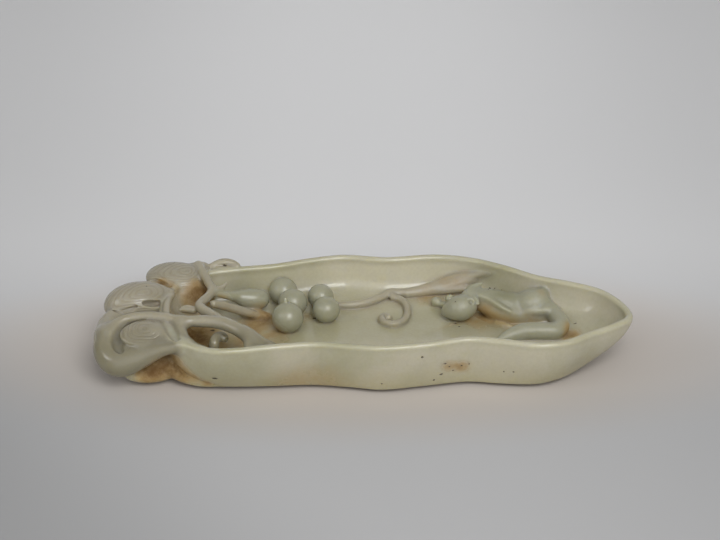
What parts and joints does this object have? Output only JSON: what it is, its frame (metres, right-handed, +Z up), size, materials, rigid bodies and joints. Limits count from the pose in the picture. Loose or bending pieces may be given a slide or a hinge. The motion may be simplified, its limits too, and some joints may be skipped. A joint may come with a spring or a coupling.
{
  "type": "jade brush washer",
  "caption": "Long shallow lobed dish with a pointed lip, openwork fungus heads and stems at one end, grapes on a vine and a crawling dragon on its floor.",
  "frame": {"origin": "middle of the washer's box, on the surface that it stands on", "axes": "+X along the dish towards its pointed lip, +Y towards the back wall, +Z up; the openwork fungus heads are at -X"},
  "size_m": [0.2, 0.0752, 0.0261],
  "materials": {
    "jade": "soft polish on pale celadon nephrite, with brown skin and dark pits left in hollows and on the front wall"
  },
  "bodies": {
    "root": {"brush_washer": "jade"}
  },
  "joints": []
}
